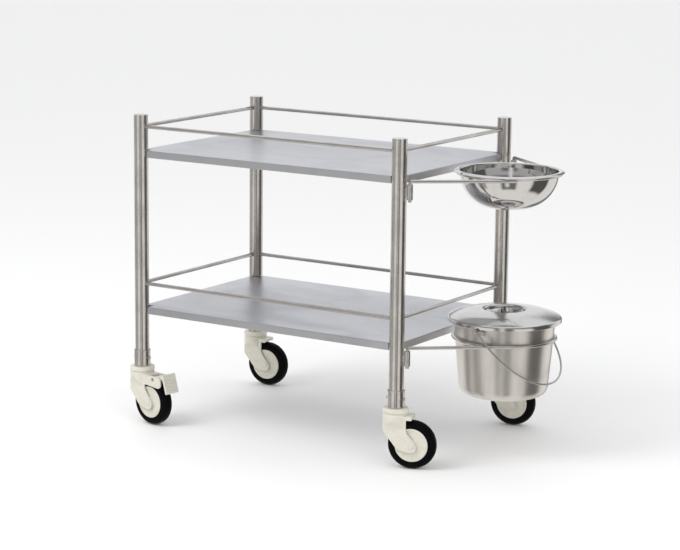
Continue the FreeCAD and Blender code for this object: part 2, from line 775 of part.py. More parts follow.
def ring_sockets(name, top):
    """Two short tubes beside the right-hand posts; the ring's ends drop into them."""
    sockets = []
    for end in (-1, 1):
        x, y, z = d.socket_x - MIDDLE_X, d.post_y * end, top - d.socket_length
        web_start = d.post_x + d.post_radius - 1.0
        web = box(d.socket_x - web_start, d.rod_radius, d.socket_web,
                  web_start - MIDDLE_X, y - d.rod_radius * 0.5,
                  z + (d.socket_length - d.socket_web) * 0.5)
        tools = [
            cylinder(d.rod_radius + d.rod_play, d.socket_length * 2, x, y,
                     z - d.socket_length * 0.5),
            cylinder(d.post_radius + d.fit_gap, d.socket_length * 2, POST_X[1], y,
                     z - d.socket_length * 0.5),
        ]
        tube = cylinder(d.socket_radius, d.socket_length, x, y, z)
        sockets.append(cut(fuse([tube, web]), fuse(tools)))
    keep(group(sockets), name)


def holder_ring(name, centre_x, height, radius, level):
    """A closed ring with two straight arms welded to it at a tangent, their ends bent down."""
    rods = [torus(radius, d.rod_radius, centre_x - MIDDLE_X, 0, height)]
    back = (centre_x - d.socket_x).value
    reach = math.hypot(back, d.post_y.value)
    angle = math.atan2(d.post_y.value, back) - math.asin(radius.value / reach)
    arm_length = math.sqrt(reach ** 2 - radius.value ** 2)
    lean = math.degrees(angle)
    for end in (-1, 1):
        turn = heading(-lean * end)
        away = (math.cos(angle), -math.sin(angle) * end)
        start_x = d.socket_x - MIDDLE_X
        start_y = d.post_y * end
        arm = cylinder(d.rod_radius, arm_length - d.elbow_radius,
                       start_x + d.elbow_radius * away[0], start_y + d.elbow_radius * away[1],
                       level, turn.multiply(ALONG_X))
        elbow = torus(d.elbow_radius, d.rod_radius, start_x + d.elbow_radius * away[0],
                      start_y + d.elbow_radius * away[1], level - d.elbow_radius,
                      turn.multiply(FreeCAD.Rotation(FreeCAD.Vector(1, 0, 0), 90))
                      .multiply(FreeCAD.Rotation(UP, 90)), 90)
        drop = d.socket_length + d.rod_end + 2
        stub = cylinder(d.rod_radius, drop, start_x, start_y, level - d.elbow_radius - drop)
        rods += [arm, elbow, stub]
    keep(fuse(rods), name)


def ring_holders():
    bowl_level = d.bowl_ring_height - d.bowl_arm_drop
    bucket_level = d.bucket_ring_height - d.bucket_arm_drop
    ring_sockets("bowl_ring_sockets", bowl_level - d.elbow_radius - d.elbow_gap)
    ring_sockets("bucket_ring_sockets", bucket_level - d.elbow_radius - d.elbow_gap)
    holder_ring("bowl_ring", d.bowl_ring_x, d.bowl_ring_height, d.bowl_ring_radius, bowl_level)
    holder_ring("bucket_ring", d.bucket_ring_x, d.bucket_ring_height, d.bucket_ring_radius,
                bucket_level)


# ---- bowl and bucket -------------------------------------------------------------------------

def bowl():
    """A deep round bowl with a flat base and an arched lip that sits over its ring."""
    t, neck, throat = d.bowl_wall, d.bowl_neck, d.bowl_throat
    base = (d.bowl_base_radius, -d.bowl_depth)
    lip_start = throat + neck - t + d.lip_flat
    bead, arc = d.bowl_bead, d.lip_arc
    lean = math.asin(((d.bowl_rim_radius - bead - lip_start) / (arc - bead)).value)
    way_down = 180 - math.degrees(lean)
    outer = on_arc(lip_start, -arc, arc, way_down)
    turned_in = on_arc(lip_start, -arc, arc - bead * 2, way_down)
    bead_end = ((outer[0] + turned_in[0]) * 0.5 + bead * math.cos(lean),
                (outer[1] + turned_in[1]) * 0.5 - bead * math.sin(lean))
    inner = on_arc(lip_start, -arc, arc - t, way_down + 6)
    body = turned([
        (0, t - d.bowl_depth), (base[0], t - d.bowl_depth),
        (throat - t, -neck, side_arc(throat - t - base[0], d.bowl_depth - t - neck)),
        (throat + neck - t, 0, -neck), (lip_start, 0), (*outer, -arc),
        (*bead_end, -bead), (*turned_in, -bead), inner, (lip_start, -t, arc - t),
        (throat + neck - t, -t), (throat, -neck, neck - t),
        (*base, -side_arc(throat - base[0], d.bowl_depth - neck)), (0, -d.bowl_depth),
    ])
    keep(place(body, d.bowl_ring_x - MIDDLE_X, 0, d.bowl_top), "bowl")


def side_arc(across, up):
    """Radius of an arc that rises by up while it goes across, and ends upright."""
    return (across * across + up * up) / (across * 2)


def bucket():
    """A tapered pail with rounded foot and a rolled bead round its mouth."""
    t = d.bucket_wall
    foot, mouth = d.bucket_foot_radius, d.bucket_mouth_radius
    corner = d.bucket_corner
    height = d.bucket_top - d.bucket_bottom
    bead = d.bucket_bead
    body = turned([
        (0, 0), (foot - corner, 0), (foot, corner, corner), (mouth, height - bead * 2),
        (mouth + bead, height - bead * 2), (mouth + bead * 2, height - bead, bead),
        (mouth + bead, height, bead), (mouth - t, height),
        (foot - t, corner), (foot - corner, t, t - corner), (0, t),
    ])
    keep(place(body, d.bucket_ring_x - MIDDLE_X, 0, d.bucket_bottom), "bucket")


def bucket_ears():
    """A plate on each side of the bucket with the pin that the bail swings on."""
    ears = []
    x, z = d.bucket_ring_x - MIDDLE_X, d.bail_pivot_height
    pin_end = d.bail_half_span + d.bail_wire + d.ear_play
    slope = (d.bucket_mouth_radius - d.bucket_foot_radius).value / (
        d.bucket_top - d.bucket_bottom - d.bucket_corner - d.bucket_bead * 2).value
    wall_foot = d.bucket_foot_radius - slope * d.bucket_corner
    start, depth = d.bucket_mouth_radius - d.ear_root, d.ear_plate + d.ear_root
    for sign in (-1, 1):
        plate = box(d.ear_half_width * 2, depth, d.ear_half_height * 2, x - d.ear_half_width,
                    start if sign > 0 else -start - depth, z - d.ear_half_height - d.ear_drop)
        turn = ALONG_Y if sign > 0 else ALONG_Y.inverted()
        pin = cylinder(d.ear_pin_radius, pin_end - start, x, start * sign, z, turn)
        head = cylinder(d.ear_head_radius, d.ear_head, x, pin_end * sign, z, turn)
        wall = doc.addObject("Part::Cone", "wall")
        bind(wall, Radius1=wall_foot + d.fit_gap, Height=d.bucket_top - d.bucket_bottom,
             Radius2=wall_foot + slope * (d.bucket_top - d.bucket_bottom) + d.fit_gap)
        place(wall, x, 0, d.bucket_bottom)
        ears.append(cut(fuse([plate, pin, head]), wall))
    keep(group(ears), "bucket_ears")


def lid():
    """A low domed cover: round shoulder, rolled edge, locating ring and a finger well."""
    t, well, turn = d.lid_sheet, d.lid_well_radius, d.lid_well_turn
    crown = d.lid_crown - d.lid_underside
    floor = d.lid_recess - d.lid_underside
    step = d.bucket_mouth_radius - d.bucket_wall - d.lid_play
    shoulder = d.lid_shoulder
    middle = (d.lid_radius - shoulder, 2)
    shoulder_lean = 180 - 22.5
    seat = d.bucket_top - d.lid_underside + d.lid_seat_gap
    dome_slack = d.lid_dome - t
    edge, skirt = d.lid_edge, -d.lid_skirt
    well_edge, ring_top, ring_slope = crown - 4, 13.1, 0.3
    body = turned([
        (0, floor), (well - turn, floor), (well, well_edge, turn * 2), (well + turn, crown, -7),
        (*on_arc(*middle, shoulder, shoulder_lean), -d.lid_dome),
        (d.lid_radius, middle[1], -shoulder), (d.lid_radius, skirt),
        (d.lid_radius - edge, skirt - edge, -edge), (d.lid_radius - edge * 2, skirt, -edge),
        (d.lid_radius - t, skirt + edge * 2), (d.lid_radius - t, middle[1]),
        (*on_arc(*middle, shoulder - t, shoulder_lean), shoulder - t),
        (step, ring_top, dome_slack), (step, seat + t), (step + d.lid_seat_width, seat + t),
        (step + d.lid_seat_width, seat), (step, seat), (step, -d.lid_step_depth),
        (step - t, -d.lid_step_depth), (step - t, ring_top + ring_slope),
        (well + turn, crown - t, dome_slack), (well + t, well_edge - t * 0.5, turn),
        (well - turn, floor - t, -turn * 2 - t), (0, floor - t),
    ])
    keep(place(body, d.bucket_ring_x - MIDDLE_X, 0, d.lid_underside), "lid")


def lid_handle():
    """A strap that bridges the lid's well, with a foot at each end."""
    body = new_body()
    t = d.handle_sheet
    reach, rise = d.handle_reach, d.lid_crown - d.lid_recess - 1
    knee = reach - d.handle_foot
    crest = knee - d.handle_slope
    half = [(reach, 0), (reach, t), (knee, t), (crest, rise)]
    inner = [(crest - t * 0.75, rise - t), (knee - t * 0.75, 0)]
    section = half + [(-x, y) for x, y in reversed(half)]
    section += [(-x, y) for x, y in reversed(inner)] + inner
    pad(body, outline(sketch_on(body, "XZ_Plane"), section), d.handle_width, symmetric=True)
    keep(place(body, d.bucket_ring_x - MIDDLE_X, 0, d.lid_recess,
               heading(d.handle_heading.value)), "lid_handle")


def bail():
    """A wire handle: an eye on each pin, two straight legs and a half circle."""
    span, wire = d.bail_half_span, d.bail_wire
    rods = [torus(span, wire, 0, 0, -d.bail_leg,
                  FreeCAD.Rotation(FreeCAD.Vector(1, 0, 0), 90)
                  .multiply(FreeCAD.Rotation(UP, 180)), 180)]
    holes = []
    side = FreeCAD.Rotation(FreeCAD.Vector(0, 1, 0), 90)
    for sign in (-1, 1):
        rods.append(cylinder(wire, d.bail_leg, span * sign, 0, -d.bail_leg))
        rods.append(cylinder(d.bail_eye_radius, wire * 2, span * sign - wire, 0, 0, side))
        holes.append(cylinder(d.ear_pin_radius + d.ear_play, wire * 4, span * sign - wire * 2,
                              0, 0, side))
    whole = cut(fuse(rods), fuse(holes))
    tilt = FreeCAD.Rotation(FreeCAD.Vector(0, 1, 0), -d.bail_rest_angle.value)
    keep(place(whole, d.bucket_ring_x - MIDDLE_X, 0, d.bail_pivot_height,
               tilt.multiply(heading(90))), "bail")


# ---- build, check and write ------------------------------------------------------------------

def check_and_write():
    doc.recompute()
    for item in doc.Objects:
        if "Invalid" in item.State or "Error" in item.State:
            raise RuntimeError(f"{item.Label} ({item.Name}) failed: {item.State}")
    os.makedirs("parts", exist_ok=True)
    for item in subparts:
        if item.Shape.isNull() or not item.Shape.isValid() or not item.Shape.Solids:
            raise RuntimeError(f"{item.Label} has no valid solid")
        item.Shape.exportStep(f"parts/{item.Label}.step")
        extent, volume = item.Shape.BoundBox, item.Shape.Volume
        print(f"{item.Label:28s} solids {len(item.Shape.Solids):2d}  volume {volume:10.0f}  "
              f"x {extent.XMin:7.1f} {extent.XMax:7.1f}  y {extent.YMin:7.1f} {extent.YMax:7.1f}  "
              f"z {extent.ZMin:6.1f} {extent.ZMax:6.1f}")
    print(f"{len(subparts)} sub-parts")


posts()
post_caps()
guard_rails()
shelves()
shelf_stiffeners()
shelf_lugs()
sleeves()
sleeve_screws()
casters()
ring_holders()
bowl()
bucket()
bucket_ears()
lid()
lid_handle()
bail()
check_and_write()
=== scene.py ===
"""Looks for a stainless dressing trolley: finishes, welds, studio, floor, light and camera.

Metres, in the same frame as the CAD model: +X along the shelves, +Y to the back, +Z up.
"""

import math
from collections import namedtuple

import bmesh
import bpy
from mathutils import Euler, Matrix, Vector


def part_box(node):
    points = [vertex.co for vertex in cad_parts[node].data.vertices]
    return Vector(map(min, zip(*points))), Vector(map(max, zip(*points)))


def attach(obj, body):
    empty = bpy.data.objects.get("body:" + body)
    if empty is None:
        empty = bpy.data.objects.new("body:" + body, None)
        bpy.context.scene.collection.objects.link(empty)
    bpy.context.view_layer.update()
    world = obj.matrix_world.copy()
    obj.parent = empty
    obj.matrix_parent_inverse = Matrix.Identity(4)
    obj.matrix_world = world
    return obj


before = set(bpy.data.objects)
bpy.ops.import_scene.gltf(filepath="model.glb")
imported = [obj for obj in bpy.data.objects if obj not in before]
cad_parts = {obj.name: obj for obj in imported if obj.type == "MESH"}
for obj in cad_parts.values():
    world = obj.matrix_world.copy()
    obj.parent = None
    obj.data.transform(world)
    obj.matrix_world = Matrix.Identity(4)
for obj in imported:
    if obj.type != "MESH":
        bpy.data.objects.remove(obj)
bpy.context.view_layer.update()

MM = 0.001
MICRON = 0.000001
X, Y, Z = Vector((1, 0, 0)), Vector((0, 1, 0)), Vector((0, 0, 1))
CORNERS = ("front_left", "front_right", "back_left", "back_right")
WHITE = (1.0, 1.0, 1.0, 1.0)


# ---- where things are, read from the parts of model.glb --------------------------------------

def middle(node):
    """The middle of a node's box."""
    low, high = (Vector(corner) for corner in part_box(node))
    return (low + high) / 2


def size(node):
    """The sides of a node's box."""
    low, high = (Vector(corner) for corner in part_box(node))
    return high - low


# ---- materials -------------------------------------------------------------------------------

class NodeTree:
    """Helpers that add shader nodes to self.tree."""

    def node(self, kind, inputs=None, **settings):
        made = self.tree.nodes.new(kind)
        for key, value in settings.items():
            setattr(made, key, value)
        for key, value in (inputs or {}).items():
            if isinstance(value, bpy.types.NodeSocket):
                self.tree.links.new(value, made.inputs[key])
            else:
                made.inputs[key].default_value = value
        return made

    def math(self, operation, *values):
        inputs = dict(enumerate(values))
        return self.node("ShaderNodeMath", inputs, operation=operation).outputs[0]

    def mapped(self, value, low, high, to_low, to_high):
        """to_low where value is at low, to_high where it is at high, smooth between them."""
        inputs = {0: value, 1: low, 2: high, 3: to_low, 4: to_high}
        made = self.node("ShaderNodeMapRange", inputs, interpolation_type="SMOOTHSTEP")
        return made.outputs[0]

    def step(self, value, low, high):
        """0 where value is at low, 1 where it is at high."""
        return self.mapped(value, low, high, 0.0, 1.0)

    def blend(self, amount, first, second):
        """One colour where amount is 0, another where it is 1."""
        mixer = self.node("ShaderNodeMix", {"Factor": amount}, data_type="RGBA")
        for socket, color in ((mixer.inputs[6], first), (mixer.inputs[7], second)):
            if isinstance(color, bpy.types.NodeSocket):
                self.tree.links.new(color, socket)
            else:
                socket.default_value = (*color, 1)
        return mixer.outputs[2]


# The cosines between the true and the rounded normal where an edge begins and where it is full.
OPEN_SURFACE, FULL_EDGE = 0.99, 0.8
BEVEL_SAMPLES = 4


class Finish(NodeTree):
    """A procedural material whose patterns are fixed to the object's own coordinates."""

    def __init__(self, name, color, metallic, **settings):
        self.material = bpy.data.materials.new(name)
        self.material.use_nodes = True
        self.tree = self.material.node_tree
        self.shader = self.tree.nodes["Principled BSDF"]
        self.shader.inputs["Base Color"].default_value = (*color, 1)
        self.shader.inputs["Metallic"].default_value = metallic
        for socket, value in settings.items():
            self.shader.inputs[socket.replace("_", " ")].default_value = value
        self.coordinates = self.node("ShaderNodeTexCoord").outputs["Object"]

    def link(self, value, socket):
        self.tree.links.new(value, self.shader.inputs[socket])

    def stretched(self, per_metre):
        """The object's coordinates, scaled to so many pattern cells per metre on each axis."""
        inputs = {"Vector": self.coordinates, "Scale": per_metre}
        return self.node("ShaderNodeMapping", inputs).outputs["Vector"]

    def noise(self, per_metre, detail=3.0, roughness=0.5, distortion=0.0):
        inputs = {
            "Vector": self.stretched(per_metre), "Scale": 1.0, "Detail": detail,
            "Roughness": roughness, "Distortion": distortion,
        }
        return self.node("ShaderNodeTexNoise", inputs).outputs["Fac"]

    def edges(self, radius):
        """A mask, 1 on edges within a radius and 0 on open surfaces, and the rounded normal."""
        bevel = self.node("ShaderNodeBevel", {"Radius": radius}, samples=BEVEL_SAMPLES)
        rounded = bevel.outputs["Normal"]
        flat = self.node("ShaderNodeNewGeometry").outputs["Normal"]
        both = self.node("ShaderNodeVectorMath", {0: rounded, 1: flat}, operation="DOT_PRODUCT")
        return self.step(both.outputs["Value"], OPEN_SURFACE, FULL_EDGE), rounded

    def height(self):
        """How high a point is over the floor at rest, in metres."""
        return self.node("ShaderNodeSeparateXYZ", {0: self.coordinates}).outputs["Z"]

    def bump(self, layers, base=None):
        """Stack height patterns, each (height, distance in metres), over a base normal."""
        normal = base
        for height, distance in layers:
            inputs = {"Height": height, "Distance": distance, "Strength": 1.0}
            if normal is not None:
                inputs["Normal"] = normal
            normal = self.node("ShaderNodeBump", inputs).outputs["Normal"]
        self.link(normal, "Normal")


def around(axis, along, across):
    """Pattern cells per metre: along for the named axis, across for the other two."""
    return tuple(along if name == axis else across for name in "xyz")


def evenly(per_metre):
    """The same number of pattern cells per metre on every axis."""
    return (per_metre,) * 3


def scaled(color, factor):
    return tuple(channel * factor for channel in color)


def drawn_tube(name, axis):
    """Polished tube with fine lines drawn along it, faint hand marks and slight waves."""
    color = (0.63, 0.60, 0.565)
    finish = Finish(name, color, 1.0, Anisotropic=0.35)
    lines = finish.noise(around(axis, 12, 2200), detail=2.0)
    smudges = finish.noise(around(axis, 18, 30), detail=4.0, roughness=0.6)
    rough = finish.mapped(finish.math("MULTIPLY", lines, smudges), 0.1, 0.5, 0.15, 0.3)
    finish.link(rough, "Roughness")
    smudged = finish.step(smudges, 0.35, 0.7)
    finish.link(finish.blend(smudged, color, scaled(color, 0.86)), "Base Color")
    waves = finish.noise(around(axis, 7, 16), detail=1.0)
    finish.bump([(lines, 4 * MICRON), (waves, 200 * MICRON)])
    return finish.material


def satin_sheet(name):
    """Satin sheet: long fine grain, faint wipe marks, and a painted highlight that makes the
    edges brighter.
    """
    clean, wiped, edge_highlight = (0.60, 0.60, 0.62), (0.55, 0.55, 0.575), (0.72, 0.71, 0.70)
    finish = Finish(name, clean, 1.0, Anisotropic=0.3)
    grain = finish.noise(around("x", 9, 1900), roughness=0.6)
    wipes = finish.noise(around("x", 3.5, 6), detail=4.0, roughness=0.65, distortion=0.6)
    edge, rounded = finish.edges(1.2 * MM)
    rough = finish.mapped(grain, 0.25, 0.75, 0.3, 0.42)
    rough = finish.math("ADD", rough, finish.mapped(wipes, 0.4, 0.7, -0.03, 0.05))
    rough = finish.math("SUBTRACT", rough, finish.math("MULTIPLY", edge, 0.1))
    finish.link(rough, "Roughness")
    grey = finish.blend(finish.step(wipes, 0.35, 0.7), clean, wiped)
    # Painted highlight: the edges are painted a lighter grey.
    finish.link(finish.blend(edge, grey, edge_highlight), "Base Color")
    dents = finish.noise(around("x", 2.2, 3.0), detail=1.0)
    finish.bump([(grain, 6 * MICRON), (dents, 1200 * MICRON)], rounded)
    return finish.material


def mirror_steel(name, smoothest, roughest):
    """Polished steel with the faint rings of the buffing wheel and small waves."""
    color = (0.66, 0.645, 0.625)
    finish = Finish(name, color, 1.0)
    rings = finish.noise(around("z", 900, 160), detail=2.0)
    haze = finish.noise(evenly(26), detail=4.0, roughness=0.65)
    finish.link(finish.mapped(haze, 0.35, 0.75, smoothest, roughest), "Roughness")
    hazy = finish.step(haze, 0.45, 0.8)
    finish.link(finish.blend(hazy, color, scaled(color, 0.9)), "Base Color")
    waves = finish.noise(evenly(22), detail=1.0)
    finish.bump([(rings, 1.5 * MICRON), (waves, 220 * MICRON)])
    return finish.material


def spun_steel(name):
    """Bucket wall: spun and polished, with soft rings round it and upright dull streaks."""
    bright, dull = (0.74, 0.705, 0.66), (0.67, 0.635, 0.59)
    finish = Finish(name, bright, 1.0, Anisotropic=0.8, Anisotropic_Rotation=0.25)
    tangent = finish.node("ShaderNodeTangent", direction_type="RADIAL", axis="Z").outputs[0]
    finish.link(tangent, "Tangent")
    rings = finish.noise(around("z", 1500, 14), detail=2.0, roughness=0.6)
    streaks = finish.noise(around("z", 6, 40), detail=4.0, roughness=0.6)
    finish.link(finish.mapped(rings, 0.25, 0.75, 0.32, 0.42), "Roughness")
    finish.link(finish.blend(finish.step(streaks, 0.4, 0.75), bright, dull), "Base Color")
    waves = finish.noise(around("z", 6, 9), detail=1.0)
    finish.bump([(rings, 5 * MICRON), (waves, 600 * MICRON)])
    return finish.material


def turned_steel(name, color=(0.50, 0.48, 0.46)):
    """Screws, pins and wire: plain bright steel with a painted highlight on its edges and dull
    hollows.
    """
    finish = Finish(name, color, 1.0)
    marks = finish.noise(evenly(700), roughness=0.6)
    grime = finish.noise(evenly(90), detail=4.0, roughness=0.6)
    edge, rounded = finish.edges(0.4 * MM)
    finish.link(finish.mapped(marks, 0.3, 0.7, 0.2, 0.36), "Roughness")
    dull = finish.blend(finish.step(grime, 0.45, 0.75), color, scaled(color, 0.72))
    # Painted highlight: the edges are painted 1.3 times lighter.
    finish.link(finish.blend(edge, dull, scaled(color, 1.3)), "Base Color")
    finish.bump([(marks, 10 * MICRON)], rounded)
    return finish.material


def cream_nylon(name):
    """Moulded cream nylon: light orange peel, a painted highlight on its edges and a little dust
    low down.
    """
    cream, shaded = (0.665, 0.645, 0.565), (0.63, 0.605, 0.525)
    dust_color, painted_edge_highlight = (0.47, 0.44, 0.37), (0.76, 0.74, 0.67)
    finish = Finish(name, cream, 0.0, IOR=1.5, Subsurface_Weight=0.06, Subsurface_Scale=2 * MM)
    peel = finish.noise(evenly(700), detail=2.0)
    flow = finish.noise(around("z", 60, 28), detail=4.0, roughness=0.6, distortion=0.4)
    dust = finish.noise(evenly(120), detail=5.0, roughness=0.7)
    edge, rounded = finish.edges(1.1 * MM)
    low = finish.mapped(finish.height(), 20 * MM, 120 * MM, 0.5, 0.0)
    dusty = finish.math("MULTIPLY", low, finish.step(dust, 0.4, 0.75))
    tone = finish.blend(finish.step(flow, 0.35, 0.7), cream, shaded)
    tone = finish.blend(dusty, tone, dust_color)
    # Painted highlight: the edges are painted half-way to a lighter cream.
    tone = finish.blend(finish.math("MULTIPLY", edge, 0.5), tone, painted_edge_highlight)
    finish.link(tone, "Base Color")
    rough = finish.math("ADD", finish.mapped(flow, 0.3, 0.7, 0.27, 0.37),
                        finish.math("MULTIPLY", dusty, 0.25))
    finish.link(rough, "Roughness")
    finish.bump([(peel, 30 * MICRON), (flow, 100 * MICRON)], rounded)
    return finish.material


def black_tyre(name):
    """Tyre rubber: matt black, worn with scuffs and a little dusty towards the floor."""
    black, dusty = (0.002, 0.002, 0.0024), (0.018, 0.017, 0.0155)
    finish = Finish(name, black, 0.0, IOR=1.5, Specular_IOR_Level=0.06)
    grit = finish.noise(evenly(1100), roughness=0.7)
    scuffs = finish.noise(evenly(60), detail=5.0, roughness=0.7, distortion=0.5)
    rounded = finish.edges(1.5 * MM)[1]
    low = finish.mapped(finish.height(), 30 * MM, 0.0, 0.1, 0.4)
    worn = finish.math("MULTIPLY", finish.step(scuffs, 0.4, 0.7), low)
    finish.link(finish.blend(worn, black, dusty), "Base Color")
    finish.link(finish.mapped(scuffs, 0.3, 0.75, 0.45, 0.7), "Roughness")
    finish.bump([(grit, 40 * MICRON), (scuffs, 150 * MICRON)], rounded)
    return finish.material


def weld_metal(name):
    """Polished-over weld: the same steel with fine ripples and a slight straw tint."""
    bright, straw = (0.55, 0.52, 0.475), (0.50, 0.45, 0.38)
    finish = Finish(name, bright, 1.0)
    ripples = finish.noise(evenly(500), roughness=0.6)
    heat = finish.noise(evenly(70))
    finish.link(finish.mapped(ripples, 0.3, 0.7, 0.22, 0.42), "Roughness")
    finish.link(finish.blend(finish.step(heat, 0.4, 0.7), bright, straw), "Base Color")
    finish.bump([(ripples, 60 * MICRON)])
    return finish.material


def dress(material, nodes):
    """Give each node one material."""
    for node in nodes:
        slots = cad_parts[node].data.materials
        slots.clear()
        slots.append(material)


def dress_nodes():
    upright = drawn_tube("tube_drawn_z", "z")
    along_x = drawn_tube("tube_drawn_x", "x")
    along_y = drawn_tube("tube_drawn_y", "y")
    dress(upright, [f"post_{corner}" for corner in CORNERS])
    dress(upright, [f"sleeve_{corner}" for corner in CORNERS])
    for level in ("upper", "lower"):
        dress(along_x, [f"{level}_rail_front", f"{level}_rail_back"])
        dress(along_y, [f"{level}_rail_left", f"{level}_rail_right"])
    dress(drawn_tube("tube_drawn_ring", "z"), ["bowl_ring", "bucket_ring"])
    dress(drawn_tube("cap_steel", "x"), ["post_caps"])
    dress(turned_steel("socket_steel", (0.58, 0.56, 0.53)),
          ["bowl_ring_sockets", "bucket_ring_sockets", "shelf_lugs"])
    dress(satin_sheet("sheet_satin"), ["upper_shelf", "lower_shelf", "shelf_stiffeners"])
    dress(mirror_steel("steel_mirror", smoothest=0.035, roughest=0.11), ["bowl", "lid_handle"])
    dress(mirror_steel("steel_buffed", smoothest=0.14, roughest=0.2), ["lid"])
    dress(spun_steel("steel_spun"), ["bucket"])
    dress(turned_steel("steel_bright"), ["sleeve_screws", "bucket_ears", "bail"])
    dress(turned_steel("steel_pins"), [f"axle_{corner}" for corner in CORNERS])
    braked = [corner for corner in CORNERS if f"brake_pin_{corner}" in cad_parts]
    dress(turned_steel("steel_brake_pins"), [f"brake_pin_{corner}" for corner in braked])
    nylon = cream_nylon("nylon_cream")
    for part in ("caster_cup", "caster_fork", "axle_caps", "wheel_hub"):
        dress(nylon, [f"{part}_{corner}" for corner in CORNERS])
    dress(nylon, [f"brake_pedal_{corner}" for corner in braked])
    dress(black_tyre("rubber_black"), [f"tyre_{corner}" for corner in CORNERS])


# ---- studio ----------------------------------------------------------------------------------

CAMERA_PLACE = Vector((3.119, -5.000, 1.560))
CAMERA_HEADING = math.radians(32.59)
CAMERA_PITCH = math.radians(-10.95)
CAMERA_ROLL = math.radians(0.6)
LENS_MM = 120
SENSOR_MM = 36
FARTHEST_SEEN = 200


def linked(name, data):
    """A new object in the scene."""
    made = bpy.data.objects.new(name, data)
    bpy.context.scene.collection.objects.link(made)
    return made


def camera():
    data = bpy.data.cameras.new("camera")
    data.lens = LENS_MM
    data.sensor_width = SENSOR_MM
    data.clip_end = FARTHEST_SEEN
    made = linked("camera", data)
    aim = Euler((math.pi / 2 + CAMERA_PITCH, 0, CAMERA_HEADING)).to_matrix().to_4x4()
    roll = Matrix.Rotation(CAMERA_ROLL, 4, "Z")
    made.matrix_world = Matrix.Translation(CAMERA_PLACE) @ aim @ roll
    bpy.context.scene.camera = made


# What polished steel mirrors, with headings and heights in degrees.  Below the horizon lies
# white paper, over it a dim room on the camera's side and the white backdrop behind the object,
# and on top a soft ceiling.
PAPER_LEVEL = 0.95
ROOM_LEVEL = 0.5
CEILING_LEVEL = 1.05
BACKDROP_HEADING = 122
BACKDROP_HALF_WIDTH = 62
ROOM_TOP = 50

Panel = namedtuple("Panel", "heading half_width lowest highest level")
# Each panel covers the ones before it.
PANELS = (
    # The dark upper part of the room, facing the backdrop.
    Panel(-58, 62, 27, 50, 0.18),
    # Dark and grey screens round the object.
    Panel(-62, 19, -44, 14, 0.20),
    Panel(-133, 12, -40, 30, 0.42),
    Panel(-163, 8, -44, 30, 0.14),
    Panel(22, 24, -46, 40, 0.11),
    Panel(100, 9, -46, 30, 0.22),
    # A narrow lamp in front of the first screen.
    Panel(-66, 4.5, -36, 45, 0.95),
)
PANEL_EDGE = 5

# Polished steel shows warm light from below the horizon and cool light from above.
WARM, COOL = (1.0, 0.985, 0.965), (0.95, 0.97, 1.0)
TINT_EDGE = 20

# What lights the other surfaces, and what the camera sees behind them.
DOME_LEVEL = 0.95
SEEN_LEVEL = 1.0


class Sky(NodeTree):
    """The node tree of the studio's surroundings."""

    def __init__(self):
        world = bpy.data.worlds.new("studio")
        world.use_nodes = True
        bpy.context.scene.world = world
        self.tree = world.node_tree
        self.tree.nodes.clear()
        direction = self.node("ShaderNodeTexCoord").outputs["Generated"]
        parts = self.node("ShaderNodeSeparateXYZ", {0: direction}).outputs
        self.turn = self.math("DEGREES", self.math("ARCTAN2", parts["Y"], parts["X"]))
        self.rise = self.math("DEGREES", self.math("ARCSINE", parts["Z"]))

    def within(self, heading, half_width):
        """1 within half_width of a heading, 0 away from it."""
        off = self.math("WRAP", self.math("SUBTRACT", self.turn, heading), 180.0, -180.0)
        off = self.math("ABSOLUTE", off)
        return self.step(off, half_width + PANEL_EDGE, half_width - PANEL_EDGE)

    def above(self, height):
        """0 below a height, 1 above it."""
        return self.step(self.rise, height - PANEL_EDGE, height + PANEL_EDGE)

    def below(self, height):
        """1 below a height, 0 above it."""
        return self.step(self.rise, height + PANEL_EDGE, height - PANEL_EDGE)

    def mixed(self, amount, first, second):
        """The level first where amount is 0, second where it is 1."""
        change = self.math("SUBTRACT", second, first)
        return self.math("MULTIPLY_ADD", amount, change, first)

    def background(self, color, level):
        return self.node("ShaderNodeBackground", {"Color": color, "Strength": level}).outputs[0]

    def chosen(self, amount, first, second):
        """The surroundings first where amount is 0, second where it is 1."""
        return self.node("ShaderNodeMixShader", {0: amount, 1: first, 2: second}).outputs[0]


def studio_world():
    sky = Sky()
    behind = sky.within(BACKDROP_HEADING, BACKDROP_HALF_WIDTH)
    room = sky.mixed(behind, ROOM_LEVEL, PAPER_LEVEL)
    level = sky.mixed(sky.above(0), PAPER_LEVEL, room)
    for panel in PANELS:
        band = sky.math("MULTIPLY", sky.above(panel.lowest), sky.below(panel.highest))
        inside = sky.math("MULTIPLY", sky.within(panel.heading, panel.half_width), band)
        level = sky.mixed(inside, level, panel.level)
    level = sky.mixed(sky.above(ROOM_TOP), level, CEILING_LEVEL)
    tint = sky.blend(sky.step(sky.rise, -TINT_EDGE, TINT_EDGE), WARM, COOL)
    path = sky.node("ShaderNodeLightPath").outputs
    lit = sky.chosen(path["Is Glossy Ray"], sky.background(WHITE, DOME_LEVEL),
                     sky.background(tint, level))
    seen = sky.chosen(path["Is Camera Ray"], lit, sky.background(WHITE, SEEN_LEVEL))
    sky.node("ShaderNodeOutputWorld", {"Surface": seen})


LIGHT_AIM = Vector((0, 0, 0.4))


def soft_light(name, place, width, watts):
    """A round lamp that polished steel doesn't mirror."""
    data = bpy.data.lights.new(name, "AREA")
    data.shape = "DISK"
    data.size = width
    data.energy = watts
    made = linked(name, data)
    made.location = place
    made.rotation_euler = (LIGHT_AIM - Vector(place)).to_track_quat("-Z", "Y").to_euler()
    made.visible_glossy = False


def studio_lights():
    soft_light("key", place=(-1.5, -2.6, 3.2), width=2.2, watts=60)
    soft_light("fill", place=(3.6, -2.4, 2.0), width=2.6, watts=30)


FLOOR_HALF = 60.0


